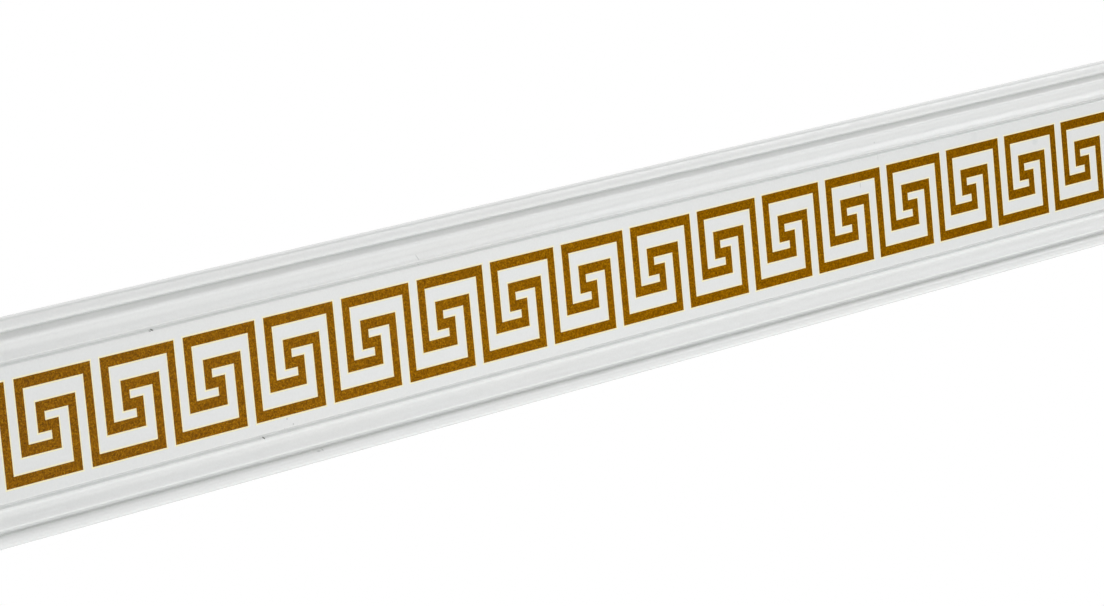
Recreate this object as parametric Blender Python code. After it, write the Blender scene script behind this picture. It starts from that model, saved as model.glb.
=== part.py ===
"""A length of white moulded trim, whose flat band carries a printed Greek key.

The strip lies flat against a wall. X runs along it, +Z is up and its face looks towards -Y.
The origin is the centre of the flat back, which lies in the plane Y = 0.
The print is only colour, so the solid has the bare band.
"""

import math

import bmesh
import bpy

# Sizes are in metres. The printed key sets the length: each end is cut square between two keys.
KEY_LINE = 0.00345
KEY_PITCH = 10.5 * KEY_LINE
KEY_COUNT = 18
STRIP_LENGTH = KEY_COUNT * KEY_PITCH

STRIP_WIDTH = 0.070
STRIP_THICKNESS = 0.006

# The moulded edge, as distances from the strip's middle line and depths behind the flat band.
BAND_HALF_WIDTH = 0.0206
QUIRK_AT, QUIRK_DEPTH = 0.0215, 0.00115
BEAD_AT, BEAD_DEPTH = 0.0224, 0.0001
VALLEY_AT, VALLEY_DEPTH = 0.0252, 0.0017
CREST_AT, CREST_DEPTH = 0.0283, 0.00035
GROOVE_AT, GROOVE_DEPTH = 0.03075, 0.0029
LIP_AT, LIP_DEPTH = 0.0323, 0.0005
SIDE_DEPTH = 0.0028
BACK_CORNER = 0.0005

CURVE_STEPS = 10
CORNER_STEPS = 8
SMOOTH_BELOW = math.radians(40)

PLASTIC_COLOUR = (0.72, 0.75, 0.73, 1.0)
PLASTIC_ROUGHNESS = 0.35

OBJECT_NAME = "moulding_strip"


def clear_scene():
    for obj in list(bpy.data.objects):
        bpy.data.objects.remove(obj, do_unlink=True)


def soft_run(start, end):
    """Points of a soft S from start to end, level at both ends, leaving out start."""
    points = []
    for step in range(1, CURVE_STEPS + 1):
        share = step / CURVE_STEPS
        rise = (1 - math.cos(math.pi * share)) / 2
        points.append((start[0] + share * (end[0] - start[0]), start[1] + rise * (end[1] - start[1])))
    return points


def quarter_arc(start, end, level_at_start):
    """Points of a quarter ellipse from start to end, level at the end named, leaving out start."""
    points = []
    for step in range(1, CORNER_STEPS + 1):
        angle = math.pi / 2 * step / CORNER_STEPS
        along, across = (math.sin(angle), 1 - math.cos(angle))
        if not level_at_start:
            along, across = 1 - math.cos(angle), math.sin(angle)
        points.append((start[0] + along * (end[0] - start[0]), start[1] + across * (end[1] - start[1])))
    return points


def half_profile():
    """The face from the edge of the flat band to the back, as (distance from the middle, depth)."""
    half_width = STRIP_WIDTH / 2
    points = [(BAND_HALF_WIDTH, 0.0)]
    stations = (
        (QUIRK_AT, QUIRK_DEPTH),
        (BEAD_AT, BEAD_DEPTH),
        (VALLEY_AT, VALLEY_DEPTH),
        (CREST_AT, CREST_DEPTH),
        (GROOVE_AT, GROOVE_DEPTH),
    )
    for station in stations:
        points += soft_run(points[-1], station)
    points += quarter_arc(points[-1], (LIP_AT, LIP_DEPTH), level_at_start=False)
    points += quarter_arc(points[-1], (half_width, SIDE_DEPTH), level_at_start=True)
    side_end = (half_width, STRIP_THICKNESS - BACK_CORNER)
    points.append(side_end)
    points += quarter_arc(side_end, (half_width - BACK_CORNER, STRIP_THICKNESS), level_at_start=False)
    return points


def section_outline():
    """The whole section as (Y, Z) points: up the face from the band's lower edge, then round."""
    upper = [(depth - STRIP_THICKNESS, distance) for distance, depth in half_profile()]
    lower = [(y, -z) for y, z in reversed(upper)]
    return upper + lower


def make_collection():
    collection = bpy.data.collections.new(OBJECT_NAME)
    bpy.context.scene.collection.children.link(collection)
    return collection


def make_plastic():
    """White semi-gloss plastic, a little cool."""
    material = bpy.data.materials.new("white_plastic")
    material.use_nodes = True
    shader = material.node_tree.nodes["Principled BSDF"]
    shader.inputs["Base Color"].default_value = PLASTIC_COLOUR
    shader.inputs["Roughness"].default_value = PLASTIC_ROUGHNESS
    shader.inputs["Metallic"].default_value = 0.0
    return material


def make_section_curve():
    """The section as a filled 2D curve, extruded both ways and turned so that it runs along X."""
    outline = section_outline()
    curve = bpy.data.curves.new("strip_section", "CURVE")
    curve.dimensions = "2D"
    curve.fill_mode = "BOTH"
    curve.extrude = STRIP_LENGTH / 2
    spline = curve.splines.new("POLY")
    spline.points.add(len(outline) - 1)
    for point, (y, z) in zip(spline.points, outline):
        point.co = (y, z, 0.0, 1.0)
    spline.use_cyclic_u = True
    guide = bpy.data.objects.new("strip_section", curve)
    guide.rotation_euler = (math.pi / 2, 0.0, math.pi / 2)
    bpy.context.scene.collection.objects.link(guide)
    bpy.context.view_layer.update()
    return guide


def make_strip(collection, material):
    """The extruded section as one welded mesh."""
    guide = make_section_curve()
    graph = bpy.context.evaluated_depsgraph_get()
    mesh = bpy.data.meshes.new_from_object(guide.evaluated_get(graph))
    mesh.name = OBJECT_NAME
    body = bmesh.new()
    body.from_mesh(mesh)
    bmesh.ops.remove_doubles(body, verts=body.verts, dist=0.00001)
    bmesh.ops.recalc_face_normals(body, faces=body.faces)
    body.to_mesh(mesh)
    body.free()
    mesh.shade_smooth()
    mesh.set_sharp_from_angle(angle=SMOOTH_BELOW)
    mesh.materials.clear()
    mesh.materials.append(material)
    strip = bpy.data.objects.new(OBJECT_NAME, mesh)
    strip.matrix_world = guide.matrix_world
    collection.objects.link(strip)
    bpy.data.objects.remove(guide, do_unlink=True)
    return strip


def main():
    clear_scene()
    make_strip(make_collection(), make_plastic())


main()
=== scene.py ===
"""Dresses the moulding strip: one smooth strip with its printed key, on a pale studio floor."""

import math

import bmesh
import bpy
from mathutils import Matrix, Quaternion, Vector


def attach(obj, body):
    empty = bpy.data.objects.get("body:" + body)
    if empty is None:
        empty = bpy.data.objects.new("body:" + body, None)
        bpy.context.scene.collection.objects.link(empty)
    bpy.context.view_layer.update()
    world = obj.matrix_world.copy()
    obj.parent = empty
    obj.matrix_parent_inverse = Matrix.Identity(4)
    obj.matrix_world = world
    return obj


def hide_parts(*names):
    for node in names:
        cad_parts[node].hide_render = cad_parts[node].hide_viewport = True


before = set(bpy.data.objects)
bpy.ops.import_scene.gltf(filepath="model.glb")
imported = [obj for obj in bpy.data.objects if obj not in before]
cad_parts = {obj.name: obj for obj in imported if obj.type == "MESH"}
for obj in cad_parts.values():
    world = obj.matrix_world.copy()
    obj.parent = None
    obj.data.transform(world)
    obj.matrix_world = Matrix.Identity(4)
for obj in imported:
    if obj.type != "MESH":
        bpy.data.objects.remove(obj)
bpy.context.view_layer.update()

NODE = "moulding_strip"

# The strip, in metres, as the solid has it.
KEY_LINE = 0.00345
KEY_COUNT = 18
STRIP_WIDTH = 0.070
STRIP_THICKNESS = 0.006
BAND_HALF_WIDTH = 0.0206
QUIRK_AT, QUIRK_DEPTH = 0.0215, 0.00115
BEAD_AT, BEAD_DEPTH = 0.0224, 0.0001
VALLEY_AT, VALLEY_DEPTH = 0.0252, 0.0017
CREST_AT, CREST_DEPTH = 0.0283, 0.00035
GROOVE_AT, GROOVE_DEPTH = 0.03075, 0.0029
LIP_AT, LIP_DEPTH = 0.0323, 0.0005
SIDE_DEPTH = 0.0028
BACK_CORNER = 0.0005
CURVE_STEPS = 14
CORNER_STEPS = 10
SMOOTH_BELOW = math.radians(40)

# The key, in line widths. Its line is one width all through, and so are the gaps of each kind.
KEY_OUTER_GAP = 1.175
KEY_INNER_GAP = 1.265
KEY_CENTRE_GAP = 0.62
KEY_UPPER_GAP = 1.48
KEY_HOOK_GAP = 0.805
PITCH_LINES = 5 + 2 * KEY_OUTER_GAP + 2 * KEY_INNER_GAP + KEY_CENTRE_GAP
HEIGHT_LINES = 5 + 2 * KEY_UPPER_GAP + 2 * KEY_HOOK_GAP
KEY_PITCH = PITCH_LINES * KEY_LINE
STRIP_LENGTH = KEY_COUNT * KEY_PITCH

# How far the print sits below the middle, how wide its pale edge is, and the plain band left
# between the print's grid and the moulded edge.
PRINT_DROP = 0.00025
PRINT_RIM = 0.0005
BAND_HOLD = 0.0003
SAME_LINE = KEY_LINE / 200

# The camera, as the photograph has it.
CAMERA_PLACE = Vector((-1.3194, -1.17606, 0.25142))
CAMERA_AIM = Vector((-0.03384, -0.006, -0.00256))
CAMERA_ROLL = math.radians(5.402)
CAMERA_LENS = 168.19
CAMERA_REACH = 200.0
SENSOR_WIDTH = 36.0

FLOOR_HEIGHT = -3.0
FLOOR_RADIUS = 10.0
FLOOR_SEGMENTS = 96
FLOOR_COLOUR = (0.9, 0.9, 0.9, 1.0)

# The studio's own light: white behind the strip, pale below and dimmer in front, and how far
# to either side of level and of the wall's plane one fades into the next.
STUDIO_WHITE = (1.0, 1.0, 1.0, 1.0)
WHITE_BEHIND = 1.0
PALE_BELOW = 0.55
DIM_IN_FRONT = 0.15
LEVEL_FADE = 0.1
WALL_FADE = 0.15

# The middle spans of a noise's values that a material uses.
WIDE_SPAN = (0.2, 0.8)
HALF_SPAN = (0.25, 0.75)
CORE_SPAN = (0.3, 0.7)
WHOLE_SPAN = (0.0, 1.0)

# The plastic. Noise sizes are features a metre along X, Y and Z; depths are in metres.
PLASTIC_COOL = (0.810, 0.824, 0.818)
PLASTIC_WARM = (0.818, 0.824, 0.812)
PLASTIC_IOR = 1.59
PLASTIC_ROUGHNESS = (0.235, 0.265)
PATCHES = (12, 60, 60)
MOTTLE = (1300, 1300, 1300)
MOTTLE_SHADE = (0.965, 1.0)
DIE_LINES = (2.5, 800, 800)
DIE_LINE_SHADE = (0.99, 1.0)
DIE_LINE_DEPTH = 0.0000015
FINE_LINES = (6, 3000, 3000)
FINE_LINE_DEPTH = 0.0000005

# The sawn ends.
CUT_DARK = (0.70, 0.725, 0.71)
CUT_ROUGHNESS = (0.5, 0.7)
SAW_LINES = (200, 3500, 250)
SAW_LINE_DEPTH = 0.00002
CHATTER = (200, 900, 200)
CHATTER_DEPTH = 0.00003

# The ink, whose metal share and edge tint change from the left end to these places along X; the
# pale edge tint at the left end is a painted sheen on the ink's reflections.
FLAKES_PER_METRE = 2600
FINE_FLAKES_PER_METRE = FLAKES_PER_METRE * 2.3
GLOSS_FLAKES_PER_METRE = FLAKES_PER_METRE * 1.4
FINE_FLAKE_SHADE = (0.85, 1.15)
FLAKE_DEPTH = 0.000003
CLOUDS = (260, 260, 260)
CLOUD_SHADE = (0.97, 1.03)
GOLD_ROUGHNESS = (0.30, 0.40)
GOLD_STOPS = (
    (0.0, (0.152, 0.059, 0.0011)),
    (0.3, (0.222, 0.090, 0.0017)),
    (0.6, (0.280, 0.106, 0.0017)),
    (0.85, (0.345, 0.146, 0.0028)),
    (1.0, (0.433, 0.203, 0.0055)),
)
METAL_SHARE = (0.93, 1.0)
ALL_METAL_AT = 0.0
# Painted sheen: the ink's reflections painted pale at the left end, fading into its own deep edge
# tint along X.
PAINTED_PALE_SHEEN = (1.0, 1.0, 1.0)
EDGE_DEEP = (1.0, 0.7, 0.15)
PAINTED_SHEEN_ENDS_AT = 0.1

# The ink's thin pale edge.
RIM_DEEP = (0.92, 0.84, 0.50)
RIM_PALE = (0.95, 0.90, 0.62)
RIM_ROUGHNESS = (0.35, 0.45)
RIM_MOTTLE = (1500, 1500, 1500)

# Small marks on the face: place along and up the strip, half width and height, strength, colour.
SOOT = (0.03, 0.03, 0.025)
GREY = (0.30, 0.31, 0.30)
DULL = (0.60, 0.64, 0.64)
MARK_REACH = 0.005
MARK_SPAN = (0.45, 1.0)
MARKS = (
    (-0.2202, 0.0210, 0.00062, 0.00042, 0.85, SOOT),
    (-0.2213, 0.0208, 0.00060, 0.00028, 0.50, SOOT),
    (-0.1762, -0.0220, 0.00048, 0.00050, 0.80, SOOT),
    (-0.1654, -0.0178, 0.00045, 0.00042, 0.55, GREY),
    (-0.1628, -0.0200, 0.00036, 0.00036, 0.60, GREY),
    (-0.1668, -0.0208, 0.00036, 0.00032, 0.35, GREY),
    (-0.1494, -0.0311, 0.00045, 0.00035, 0.55, GREY),
    (-0.1513, -0.0312, 0.00110, 0.00030, 0.40, GREY),
    (-0.0969, 0.0236, 0.00030, 0.00130, 0.40, GREY),
    (-0.0966, 0.0212, 0.00035, 0.00040, 0.30, GREY),
    (0.1508, 0.0252, 0.00060, 0.00045, 0.30, GREY),
    (0.1512, 0.0218, 0.00040, 0.00050, 0.25, GREY),
    (0.1500, 0.0197, 0.00035, 0.00150, 0.16, GREY),
    (0.1385, 0.0113, 0.00045, 0.00130, 0.28, GREY),
    (0.1504, -0.0306, 0.00055, 0.00045, 0.30, GREY),
    (0.2461, 0.0114, 0.00230, 0.00170, 0.30, DULL),
    (0.1954, -0.0322, 0.00200, 0.00150, 0.16, DULL),
    (0.2086, 0.0190, 0.00260, 0.00190, 0.14, DULL),
)

# Softboxes: how far the way to it leans along +X, from -1 to 1, its angle above straight ahead
# in degrees, its distance, width and height in metres, and its power in watts.
SOFTBOXES = (
    ("softbox_front", -0.1, 0, 3.0, 2.0, 1.2, 13.5),
    ("softbox_above", -0.1, 38, 1.45, 1.8, 0.6, 3.5),
    ("softbox_below", -0.1, -42, 1.45, 1.8, 0.6, 7.0),
    ("softbox_under", -0.1, -120, 1.45, 1.8, 0.6, 7.0),
    ("strip_light_top", 0.74, 76, 3.0, 1.4, 0.40, 10.2),
    ("strip_light_high", 0.74, 58, 3.0, 1.4, 0.30, 8.5),
    ("strip_light_upper", 0.74, 34, 3.0, 1.4, 0.20, 6.5),
    ("strip_light_level", 0.74, 14, 3.0, 1.4, 0.30, 2.0),
    ("strip_light_ahead", 0.70, -12, 3.0, 0.5, 0.50, 1.3),
    ("strip_light_lower", 0.74, -34, 3.0, 1.4, 0.40, 3.5),
    ("strip_light_bottom", 0.74, -84, 3.0, 1.4, 0.30, 5.0),
)


def point_between(start, end, along, across):
    """The point that lies these shares of the way from start to end."""
    return (start[0] + along * (end[0] - start[0]), start[1] + across * (end[1] - start[1]))


def soft_run(start, end):
    """Points of a soft S from start to end, level at both ends, leaving out start."""
    points = []
    for step in range(1, CURVE_STEPS + 1):
        share = step / CURVE_STEPS
        rise = (1 - math.cos(math.pi * share)) / 2
        points.append(point_between(start, end, share, rise))
    return points


def quarter_arc(start, end, level_at_start):
    """Points of a quarter ellipse from start to end, level at the end named, leaving out start."""
    points = []
    for step in range(1, CORNER_STEPS + 1):
        angle = math.pi / 2 * step / CORNER_STEPS
        slow, quick = 1 - math.cos(angle), math.sin(angle)
        along, across = (quick, slow) if level_at_start else (slow, quick)
        points.append(point_between(start, end, along, across))
    return points


def half_profile():
    """The face from the edge of the flat band to the back, as (distance from the middle, depth)."""
    half_width = STRIP_WIDTH / 2
    points = [(BAND_HALF_WIDTH, 0.0)]
    stations = (
        (QUIRK_AT, QUIRK_DEPTH),
        (BEAD_AT, BEAD_DEPTH),
        (VALLEY_AT, VALLEY_DEPTH),
        (CREST_AT, CREST_DEPTH),
        (GROOVE_AT, GROOVE_DEPTH),
    )
    for station in stations:
        points += soft_run(points[-1], station)
    points += quarter_arc(points[-1], (LIP_AT, LIP_DEPTH), level_at_start=False)
    points += quarter_arc(points[-1], (half_width, SIDE_DEPTH), level_at_start=True)
    side_end = (half_width, STRIP_THICKNESS - BACK_CORNER)
    points.append(side_end)
    back_edge = (half_width - BACK_CORNER, STRIP_THICKNESS)
    points += quarter_arc(side_end, back_edge, level_at_start=False)
    return points


def key_path():
    """One key's centre line, in line widths from its lower left corner, on into the next key."""
    left = 0.5
    hook_left = left + 1 + KEY_OUTER_GAP
    spine_left = hook_left + 1 + KEY_INNER_GAP
    spine_right = spine_left + 1 + KEY_CENTRE_GAP
    right = spine_right + 1 + KEY_INNER_GAP
    bottom = 0.5
    low_bar = bottom + 1 + KEY_UPPER_GAP
    middle = low_bar + 1 + KEY_HOOK_GAP
    high_bar = middle + 1 + KEY_HOOK_GAP
    top = high_bar + 1 + KEY_UPPER_GAP
    return [
        (left, top),
        (left, bottom),
        (right, bottom),
        (right, high_bar),
        (spine_left, high_bar),
        (spine_left, middle),
        (spine_right, middle),
        (spine_right, low_bar),
        (hook_left, low_bar),
        (hook_left, top),
        (left + PITCH_LINES, top),
    ]


def key_boxes():
    """Every key's line as boxes (low x, high x, low z, high z), cut off at the strip's ends."""
    half_length = STRIP_LENGTH / 2
    first_left = -half_length + KEY_OUTER_GAP / 2 * KEY_LINE
    print_bottom = -HEIGHT_LINES / 2 * KEY_LINE - PRINT_DROP
    path = key_path()
    boxes = []
    for key in range(-1, KEY_COUNT):
        corner_x = first_left + key * KEY_PITCH
        for (x_a, z_a), (x_b, z_b) in zip(path, path[1:]):
            low_x = corner_x + (min(x_a, x_b) - 0.5) * KEY_LINE
            high_x = corner_x + (max(x_a, x_b) + 0.5) * KEY_LINE
            low_z = print_bottom + (min(z_a, z_b) - 0.5) * KEY_LINE
            high_z = print_bottom + (max(z_a, z_b) + 0.5) * KEY_LINE
            low_x, high_x = max(low_x, -half_length), min(high_x, half_length)
            if high_x > low_x:
                boxes.append((low_x, high_x, low_z, high_z))
    return boxes


def edge_lines(boxes, low_side, high_side):
    """Where the boxes' two named sides lie, and where the pale edge round them ends."""
    grown = ((low_side, 0), (high_side, 0), (low_side, -PRINT_RIM), (high_side, PRINT_RIM))
    return [box[side] + grow for box in boxes for side, grow in grown]


def merged_lines(values, low, high):
    """Sorted values within low and high, both kept, with near-equal ones made one."""
    lines = [low]
    for value in sorted(values):
        if value - lines[-1] > SAME_LINE and high - value > SAME_LINE:
            lines.append(value)
    return lines + [high]


def inside(boxes, x, z, grow):
    """Whether a place is within any of the boxes, each made larger by grow."""
    return any(a - grow < x < b + grow and c - grow < z < d + grow for a, b, c, d in boxes)


def build_strip():
    """The strip as one closed mesh, whose band is split along the print's outline."""
    white, gold, rim, cut = range(4)
    half_length = STRIP_LENGTH / 2
    front = -STRIP_THICKNESS
    hold = BAND_HALF_WIDTH - BAND_HOLD
    boxes = key_boxes()
    stations = [-half_length + key * KEY_PITCH for key in range(KEY_COUNT + 1)]

    edges_z = edge_lines(boxes, 2, 3)
    lines_x = merged_lines(edge_lines(boxes, 0, 1) + stations, -half_length, half_length)
    lines_z = merged_lines(edges_z, min(edges_z), max(edges_z))
    station_columns = [
        min(range(len(lines_x)), key=lambda i: abs(lines_x[i] - x)) for x in stations
    ]

    body = bmesh.new()
    grid = [[body.verts.new((x, front, z)) for z in lines_z] for x in lines_x]

    def face(verts, material):
        body.faces.new(verts).material_index = material

    for column in range(len(lines_x) - 1):
        middle_x = (lines_x[column] + lines_x[column + 1]) / 2
        near = [box for box in boxes if box[0] - KEY_LINE < middle_x < box[1] + KEY_LINE]
        for row in range(len(lines_z) - 1):
            middle_z = (lines_z[row] + lines_z[row + 1]) / 2
            material = white
            if inside(near, middle_x, middle_z, 0.0):
                material = gold
            elif inside(near, middle_x, middle_z, PRINT_RIM):
                material = rim
            a, b = grid[column], grid[column + 1]
            face((a[row], b[row], b[row + 1], a[row + 1]), material)

    # Each column runs from the upper hold line, over the edge and back, to the lower one.
    upper = [(front, hold)]
    upper += [(depth - STRIP_THICKNESS, distance) for distance, depth in half_profile()]
    ring = upper + [(y, -z) for y, z in reversed(upper)]
    columns = [[body.verts.new((x, y, z)) for y, z in ring] for x in stations]
    for left, right in zip(columns, columns[1:]):
        for point in range(len(ring) - 1):
            face((left[point], right[point], right[point + 1], left[point + 1]), white)

    for number, (start, end) in enumerate(zip(station_columns, station_columns[1:])):
        left, right = columns[number], columns[number + 1]
        top_row = [grid[column][-1] for column in range(start, end + 1)]
        bottom_row = [grid[column][0] for column in range(start, end + 1)]
        face(top_row + [right[0], left[0]], white)
        face([left[-1], right[-1]] + bottom_row[::-1], white)

    face(columns[0] + grid[0], cut)
    face((columns[-1] + grid[-1])[::-1], cut)

    bmesh.ops.recalc_face_normals(body, faces=body.faces)
    mesh = bpy.data.meshes.new("strip")
    body.to_mesh(mesh)
    body.free()
    mesh.shade_smooth()
    mesh.set_sharp_from_angle(angle=SMOOTH_BELOW)
    strip = bpy.data.objects.new("strip", mesh)
    bpy.context.scene.collection.objects.link(strip)
    for material in (make_plastic(), make_gold(), make_rim(), make_cut_plastic()):
        mesh.materials.append(material)
    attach(strip, "root")
    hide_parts(NODE)


def new_material(name):
    """A node material, its tree and its shader."""
    material = bpy.data.materials.new(name)
    material.use_nodes = True
    return material, material.node_tree, material.node_tree.nodes["Principled BSDF"]


def add_node(tree, kind, inputs, **settings):
    """A new node with its settings made, and each named input either linked or set."""
    node = tree.nodes.new(kind)
    for name, value in settings.items():
        setattr(node, name, value)
    for name, value in inputs.items():
        if isinstance(value, bpy.types.NodeSocket):
            tree.links.new(value, node.inputs[name])
        else:
            node.inputs[name].default_value = value
    return node


def object_place(tree):
    """The point's place on the strip, in metres."""
    return add_node(tree, "ShaderNodeTexCoord", {}).outputs["Object"]


def noise(tree, per_metre, detail):
    """Soft noise from 0 to 1, with so many features a metre along each axis."""
    scaling = {"Vector": object_place(tree), "Scale": per_metre}
    place = add_node(tree, "ShaderNodeMapping", scaling).outputs["Vector"]
    inputs = {"Vector": place, "Scale": 1.0, "Detail": detail}
    return add_node(tree, "ShaderNodeTexNoise", inputs).outputs["Fac"]


def cells(tree, per_metre):
    """A random value from 0 to 1 for each small cell."""
    inputs = {"Vector": object_place(tree), "Scale": per_metre}
    colour = add_node(tree, "ShaderNodeTexVoronoi", inputs).outputs["Color"]
    return add_node(tree, "ShaderNodeSeparateColor", {"Color": colour}).outputs["Red"]


def ranged(tree, value, span, reach):
    """The value carried from its span, low to high, onto the reach, and held at its ends."""
    inputs = {
        "Value": value,
        "From Min": span[0],
        "From Max": span[1],
        "To Min": reach[0],
        "To Max": reach[1],
    }
    return add_node(tree, "ShaderNodeMapRange", inputs).outputs["Result"]


def ramp(tree, value, stops):
    """Colours blended by the value through (position, colour) stops."""
    node = add_node(tree, "ShaderNodeValToRGB", {"Fac": value})
    elements = node.color_ramp.elements
    while len(elements) < len(stops):
        elements.new(0.5)
    for element, (position, colour) in zip(elements, stops):
        element.position = position
        element.color = (*colour, 1.0)
    return node.outputs["Color"]


def two_tone(tree, value, span, low, high):
    """One colour turning into the other as the value crosses the span."""
    return ramp(tree, value, ((span[0], low), (span[1], high)))


def blend(tree, amount, low, high, mode="MIX"):
    """Two colours mixed by the amount."""
    node = add_node(
        tree, "ShaderNodeMix", {"Factor": amount}, data_type="RGBA", blend_type=mode
    )
    colour_a, colour_b, colour_out = node.inputs[6], node.inputs[7], node.outputs[2]
    for socket, value in ((colour_a, low), (colour_b, high)):
        if isinstance(value, bpy.types.NodeSocket):
            tree.links.new(value, socket)
        else:
            socket.default_value = (*value, 1.0)
    return colour_out


def shaded(tree, colour, *shares):
    """The colour made darker or lighter by each share in turn."""
    for share in shares:
        colour = blend(tree, 1.0, colour, share, "MULTIPLY")
    return colour


def bumps(tree, shader, layers):
    """Chains (height, depth in metres) layers of bump into the shader."""
    normal = None
    for height, depth in layers:
        inputs = {"Height": height, "Distance": depth, "Strength": 1.0}
        if normal is not None:
            inputs["Normal"] = normal
        normal = add_node(tree, "ShaderNodeBump", inputs).outputs["Normal"]
    tree.links.new(normal, shader.inputs["Normal"])


def mark_cover(tree, x, z, half_width, half_height, strength):
    """A soft oval on the face: strength in its middle, 0 outside it."""
    inputs = {
        "Vector": object_place(tree),
        "Location": (x, -STRIP_THICKNESS, z),
        "Scale": (half_width, MARK_REACH, half_height),
    }
    mapping = add_node(tree, "ShaderNodeMapping", inputs, vector_type="TEXTURE")
    local = {0: mapping.outputs["Vector"]}
    away = add_node(tree, "ShaderNodeVectorMath", local, operation="LENGTH").outputs["Value"]
    return ranged(tree, away, MARK_SPAN, (strength, 0.0))


def marked(tree, colour):
    """The colour with the small specks, hairs and dull spots of the photographed piece."""
    for x, z, half_width, half_height, strength, tint in MARKS:
        cover = mark_cover(tree, x, z, half_width, half_height, strength)
        colour = blend(tree, cover, colour, tint)
    return colour


def make_plastic():
    """White semi-gloss plastic with faint lengthwise lines from the die, and its few marks."""
    material, tree, shader = new_material("white_plastic")
    die_lines = noise(tree, DIE_LINES, 1.0)
    fine_lines = noise(tree, FINE_LINES, 0.0)
    mottle = noise(tree, MOTTLE, 1.0)
    patches = noise(tree, PATCHES, 1.0)
    colour = shaded(
        tree,
        two_tone(tree, patches, WIDE_SPAN, PLASTIC_COOL, PLASTIC_WARM),
        ranged(tree, mottle, HALF_SPAN, MOTTLE_SHADE),
        ranged(tree, die_lines, CORE_SPAN, DIE_LINE_SHADE),
    )
    roughness = ranged(tree, patches, WIDE_SPAN, PLASTIC_ROUGHNESS)
    tree.links.new(marked(tree, colour), shader.inputs["Base Color"])
    tree.links.new(roughness, shader.inputs["Roughness"])
    shader.inputs["IOR"].default_value = PLASTIC_IOR
    bumps(tree, shader, ((die_lines, DIE_LINE_DEPTH), (fine_lines, FINE_LINE_DEPTH)))
    return material


def make_cut_plastic():
    """The same plastic where a saw cut the ends: duller, with fine upright lines."""
    material, tree, shader = new_material("cut_plastic")
    saw_lines = noise(tree, SAW_LINES, 3.0)
    chatter = noise(tree, CHATTER, 1.0)
    colour = two_tone(tree, saw_lines, CORE_SPAN, CUT_DARK, PLASTIC_COOL)
    roughness = ranged(tree, saw_lines, CORE_SPAN, CUT_ROUGHNESS)
    tree.links.new(colour, shader.inputs["Base Color"])
    tree.links.new(roughness, shader.inputs["Roughness"])
    bumps(tree, shader, ((saw_lines, SAW_LINE_DEPTH), (chatter, CHATTER_DEPTH)))
    return material


def make_gold():
    """Metallic ink: flakes of several browns, about 0.4 mm across, with finer ones among them."""
    material, tree, shader = new_material("gold_print")
    flakes = cells(tree, FLAKES_PER_METRE)
    fine_flakes = cells(tree, FINE_FLAKES_PER_METRE)
    gloss_flakes = cells(tree, GLOSS_FLAKES_PER_METRE)
    clouds = noise(tree, CLOUDS, 3.0)
    colour = shaded(
        tree,
        ramp(tree, flakes, GOLD_STOPS),
        ranged(tree, fine_flakes, WHOLE_SPAN, FINE_FLAKE_SHADE),
        ranged(tree, clouds, CORE_SPAN, CLOUD_SHADE),
    )
    roughness = ranged(tree, gloss_flakes, WHOLE_SPAN, GOLD_ROUGHNESS)

    left_end = -STRIP_LENGTH / 2
    along = add_node(tree, "ShaderNodeSeparateXYZ", {"Vector": object_place(tree)}).outputs["X"]
    metal = ranged(tree, along, (left_end, ALL_METAL_AT), METAL_SHARE)
    # The edge tint is a painted pale sheen at the left end, turning into the ink's own deep tint
    # along X.
    painted_sheen_share = ranged(tree, along, (left_end, PAINTED_SHEEN_ENDS_AT), WHOLE_SPAN)
    edge_tint_with_painted_sheen = two_tone(tree, painted_sheen_share, WHOLE_SPAN, PAINTED_PALE_SHEEN, EDGE_DEEP)

    tree.links.new(colour, shader.inputs["Base Color"])
    tree.links.new(roughness, shader.inputs["Roughness"])
    tree.links.new(metal, shader.inputs["Metallic"])
    tree.links.new(edge_tint_with_painted_sheen, shader.inputs["Specular Tint"])
    bumps(tree, shader, ((flakes, FLAKE_DEPTH),))
    return material


def make_rim():
    """The thin pale yellow edge where the ink's clear base shows past the gold."""
    material, tree, shader = new_material("print_rim")
    mottle = noise(tree, RIM_MOTTLE, 1.0)
    colour = two_tone(tree, mottle, CORE_SPAN, RIM_DEEP, RIM_PALE)
    roughness = ranged(tree, mottle, CORE_SPAN, RIM_ROUGHNESS)
    tree.links.new(colour, shader.inputs["Base Color"])
    tree.links.new(roughness, shader.inputs["Roughness"])
    return material


def make_camera():
    """The camera where the photograph was taken from."""
    data = bpy.data.cameras.new("camera")
    data.lens = CAMERA_LENS
    data.sensor_width = SENSOR_WIDTH
    data.clip_end = CAMERA_REACH
    camera = bpy.data.objects.new("camera", data)
    bpy.context.scene.collection.objects.link(camera)
    look = (CAMERA_AIM - CAMERA_PLACE).to_track_quat("-Z", "Y")
    camera.rotation_mode = "QUATERNION"
    camera.rotation_quaternion = look @ Quaternion((0, 0, 1), -CAMERA_ROLL)
    camera.location = CAMERA_PLACE
    bpy.context.scene.camera = camera


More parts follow.
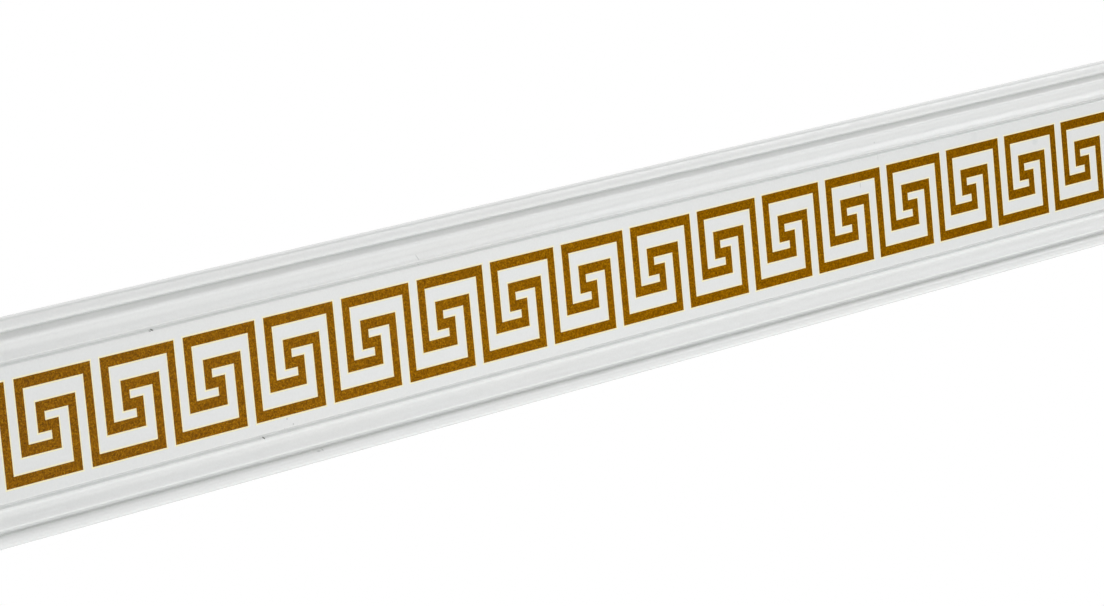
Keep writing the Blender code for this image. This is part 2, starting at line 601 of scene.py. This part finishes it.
def make_floor():
    """A plain pale round floor well below the strip."""
    disc = bmesh.new()
    bmesh.ops.create_circle(disc, cap_ends=True, segments=FLOOR_SEGMENTS, radius=FLOOR_RADIUS)
    mesh = bpy.data.meshes.new("floor")
    disc.to_mesh(mesh)
    disc.free()
    floor = bpy.data.objects.new("floor", mesh)
    floor.location.z = FLOOR_HEIGHT
    bpy.context.scene.collection.objects.link(floor)
    material, _, shader = new_material("pale_floor")
    shader.inputs["Base Color"].default_value = FLOOR_COLOUR
    shader.inputs["Roughness"].default_value = 1.0
    mesh.materials.append(material)


def make_area(name, place, width, height, power):
    """A rectangular light that faces the origin, with its width along the strip."""
    data = bpy.data.lights.new(name, "AREA")
    data.shape = "RECTANGLE"
    data.size, data.size_y = width, height
    data.energy = power
    light = bpy.data.objects.new(name, data)
    bpy.context.scene.collection.objects.link(light)
    back = place.normalized()
    along = (Vector((1, 0, 0)) - back * back.x).normalized()
    turn = Matrix((along, back.cross(along), back)).transposed()
    light.matrix_world = Matrix.LocRotScale(place, turn, None)


def make_world():
    """Soft light from all round, by direction alone."""
    world = bpy.data.worlds.new("studio")
    world.use_nodes = True
    tree = world.node_tree
    direction = add_node(tree, "ShaderNodeTexCoord", {}).outputs["Generated"]
    way = add_node(tree, "ShaderNodeSeparateXYZ", {"Vector": direction}).outputs
    front = ranged(tree, way["Z"], (-LEVEL_FADE, LEVEL_FADE), (PALE_BELOW, DIM_IN_FRONT))
    strength = ranged(tree, way["Y"], (-WALL_FADE, WALL_FADE), (front, WHITE_BEHIND))
    background = tree.nodes["Background"]
    tree.links.new(strength, background.inputs["Strength"])
    background.inputs["Color"].default_value = STUDIO_WHITE
    bpy.context.scene.world = world


def make_lights():
    """The softboxes, each placed by its lean along the strip and its angle above straight ahead."""
    for name, lean, angle, distance, width, height, power in SOFTBOXES:
        across = math.sqrt(1 - lean * lean)
        turn = math.radians(angle)
        way = Vector((lean, -across * math.cos(turn), across * math.sin(turn)))
        make_area(name, way * distance, width, height, power)


make_camera()
make_floor()
make_world()
build_strip()
make_lights()
bpy.context.scene.view_settings.view_transform = "Standard"
